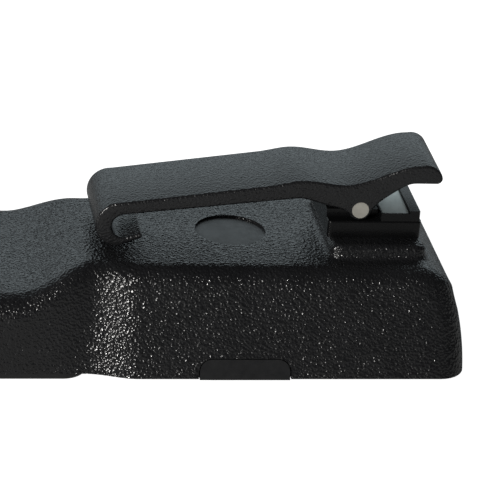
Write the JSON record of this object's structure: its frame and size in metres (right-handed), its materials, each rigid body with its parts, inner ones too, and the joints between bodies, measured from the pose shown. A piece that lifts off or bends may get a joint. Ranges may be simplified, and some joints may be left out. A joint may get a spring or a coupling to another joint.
{
  "type": "portable radio",
  "caption": "Handheld two-way radio with textured lift-off battery shell, sprung belt clip, push-to-talk bar, keypad, knobs and stub antenna.",
  "frame": {"origin": "centre of the bounding box at the level of the front face that the radio rests on", "axes": "+X along the radio towards its top end with the controls, +Z from the front face to the belt clip, -Y is the push-to-talk side"},
  "size_m": [0.1384, 0.0562, 0.0437],
  "materials": {
    "shell_plastic": "black, leather-like moulded grain",
    "lever_plastic": "black, fine moulded grain",
    "clip_plastic": "black, nearly smooth",
    "front_plastic": "black, fine satin",
    "smooth_plastic": "black, smooth satin",
    "badge_plastic": "dark slate, smooth satin",
    "key_plastic": "dark grey, soft touch",
    "knob_rubber": "black, soft touch",
    "antenna_rubber": "black, satin",
    "emergency_orange": "orange, satin",
    "lens": "smoked, clear",
    "display": "grey-green liquid crystal",
    "mesh": "black woven",
    "speaker_metal": "plated",
    "membrane": "grey silicone",
    "circuit_board": "green solder mask",
    "tinplate": "tin plated",
    "cast_alloy": "as cast",
    "screw_steel": "black zinc",
    "seal": "black",
    "led": "milky",
    "gold": "gold plated",
    "control_metal": "plated can",
    "shaft_brass": "turned",
    "socket_brass": "turned, threaded",
    "cell_wrap": "blue shrink wrap",
    "plate_steel": "zinc plated",
    "pin_nickel": "nickel plated",
    "spring_steel": "spring steel"
  },
  "bodies": {
    "radio": {"front_housing": "front_plastic", "display_lens": "lens", "display_module": "display", "speaker_mesh": "mesh", "speaker_driver": "speaker_metal", "keypad_membrane": "membrane", "main_board": "circuit_board", "rf_shield": "tinplate", "chassis": "cast_alloy", "chassis_screws": "screw_steel", "main_seal": "seal", "microphone": "tinplate", "led_lens": "led", "radio_contacts": "gold", "control_panel": "front_plastic", "volume_control": "control_metal", "channel_control": "control_metal", "antenna_socket": "socket_brass", "antenna": "antenna_rubber", "ptt_switch": "smooth_plastic"},
    "battery_pack": {"rear_housing": "shell_plastic", "battery_cover": "front_plastic", "cell_left": "cell_wrap", "cell_right": "cell_wrap", "battery_board": "circuit_board", "charging_contacts": "gold", "pack_contacts": "gold", "badge_disc": "badge_plastic", "clip_base": "clip_plastic", "clip_plate": "plate_steel", "clip_pin": "pin_nickel", "clip_screws": "screw_steel", "clip_spring": "spring_steel"},
    "clip_lever": {"clip_lever": "lever_plastic"},
    "ptt_button": {"ptt_button": "smooth_plastic"},
    "latch_button": {"latch_button": "smooth_plastic"},
    "emergency_button": {"emergency_button": "emergency_orange"},
    "volume_knob": {"volume_knob": "knob_rubber", "volume_shaft": "shaft_brass"},
    "channel_knob": {"channel_knob": "knob_rubber", "channel_shaft": "shaft_brass"},
    "key_1": {"key_1": "key_plastic"},
    "key_2": {"key_2": "key_plastic"},
    "key_3": {"key_3": "key_plastic"},
    "key_4": {"key_4": "key_plastic"},
    "key_5": {"key_5": "key_plastic"},
    "key_6": {"key_6": "key_plastic"},
    "key_7": {"key_7": "key_plastic"},
    "key_8": {"key_8": "key_plastic"},
    "key_9": {"key_9": "key_plastic"},
    "key_star": {"key_star": "key_plastic"},
    "key_0": {"key_0": "key_plastic"},
    "key_hash": {"key_hash": "key_plastic"},
    "key_menu": {"key_menu": "key_plastic"},
    "key_select": {"key_select": "key_plastic"},
    "key_back": {"key_back": "key_plastic"}
  },
  "joints": [
    {"name": "pack_lift", "type": "slide", "parent": "radio", "child": "battery_pack", "axis": [0, 0, 1], "range_m": [0, 0.03]},
    {"name": "clip_hinge", "type": "hinge", "parent": "battery_pack", "child": "clip_lever", "pos_m": [0.04585, 0, 0.0332], "axis": [0, 1, 0], "range_deg": [0, 20], "stiffness_Nm_per_rad": 0.3, "springref_deg": -28.65, "deforming": ["clip_spring"]},
    {"name": "ptt_press", "type": "slide", "parent": "radio", "child": "ptt_button", "axis": [0, 1, 0], "range_m": [0, 0.0008], "stiffness_N_per_m": 500, "springref_m": -0.0006},
    {"name": "latch_press", "type": "slide", "parent": "radio", "child": "latch_button", "axis": [1, 0, 0], "range_m": [0, 0.0013], "stiffness_N_per_m": 500, "springref_m": -0.0008},
    {"name": "emergency_press", "type": "slide", "parent": "radio", "child": "emergency_button", "axis": [-1, 0, 0], "range_m": [0, 0.001], "stiffness_N_per_m": 400, "springref_m": -0.0006},
    {"name": "volume_turn", "type": "hinge", "parent": "radio", "child": "volume_knob", "pos_m": [0.05685, -0.0075, 0.0116], "axis": [1, 0, 0], "range_deg": [0, 270]},
    {"name": "channel_turn", "type": "hinge", "parent": "radio", "child": "channel_knob", "pos_m": [0.05685, 0.004, 0.0116], "axis": [1, 0, 0], "range_deg": [0, 337.5]},
    {"name": "key_1_press", "type": "slide", "parent": "radio", "child": "key_1", "axis": [0, 0, 1], "range_m": [0, 0.0006], "stiffness_N_per_m": 300, "springref_m": -0.0005},
    {"name": "key_2_press", "type": "slide", "parent": "radio", "child": "key_2", "axis": [0, 0, 1], "range_m": [0, 0.0006], "stiffness_N_per_m": 300, "springref_m": -0.0005},
    {"name": "key_3_press", "type": "slide", "parent": "radio", "child": "key_3", "axis": [0, 0, 1], "range_m": [0, 0.0006], "stiffness_N_per_m": 300, "springref_m": -0.0005},
    {"name": "key_4_press", "type": "slide", "parent": "radio", "child": "key_4", "axis": [0, 0, 1], "range_m": [0, 0.0006], "stiffness_N_per_m": 300, "springref_m": -0.0005},
    {"name": "key_5_press", "type": "slide", "parent": "radio", "child": "key_5", "axis": [0, 0, 1], "range_m": [0, 0.0006], "stiffness_N_per_m": 300, "springref_m": -0.0005},
    {"name": "key_6_press", "type": "slide", "parent": "radio", "child": "key_6", "axis": [0, 0, 1], "range_m": [0, 0.0006], "stiffness_N_per_m": 300, "springref_m": -0.0005},
    {"name": "key_7_press", "type": "slide", "parent": "radio", "child": "key_7", "axis": [0, 0, 1], "range_m": [0, 0.0006], "stiffness_N_per_m": 300, "springref_m": -0.0005},
    {"name": "key_8_press", "type": "slide", "parent": "radio", "child": "key_8", "axis": [0, 0, 1], "range_m": [0, 0.0006], "stiffness_N_per_m": 300, "springref_m": -0.0005},
    {"name": "key_9_press", "type": "slide", "parent": "radio", "child": "key_9", "axis": [0, 0, 1], "range_m": [0, 0.0006], "stiffness_N_per_m": 300, "springref_m": -0.0005},
    {"name": "key_star_press", "type": "slide", "parent": "radio", "child": "key_star", "axis": [0, 0, 1], "range_m": [0, 0.0006], "stiffness_N_per_m": 300, "springref_m": -0.0005},
    {"name": "key_0_press", "type": "slide", "parent": "radio", "child": "key_0", "axis": [0, 0, 1], "range_m": [0, 0.0006], "stiffness_N_per_m": 300, "springref_m": -0.0005},
    {"name": "key_hash_press", "type": "slide", "parent": "radio", "child": "key_hash", "axis": [0, 0, 1], "range_m": [0, 0.0006], "stiffness_N_per_m": 300, "springref_m": -0.0005},
    {"name": "key_menu_press", "type": "slide", "parent": "radio", "child": "key_menu", "axis": [0, 0, 1], "range_m": [0, 0.0006], "stiffness_N_per_m": 300, "springref_m": -0.0005},
    {"name": "key_select_press", "type": "slide", "parent": "radio", "child": "key_select", "axis": [0, 0, 1], "range_m": [0, 0.0006], "stiffness_N_per_m": 300, "springref_m": -0.0005},
    {"name": "key_back_press", "type": "slide", "parent": "radio", "child": "key_back", "axis": [0, 0, 1], "range_m": [0, 0.0006], "stiffness_N_per_m": 300, "springref_m": -0.0005}
  ]
}
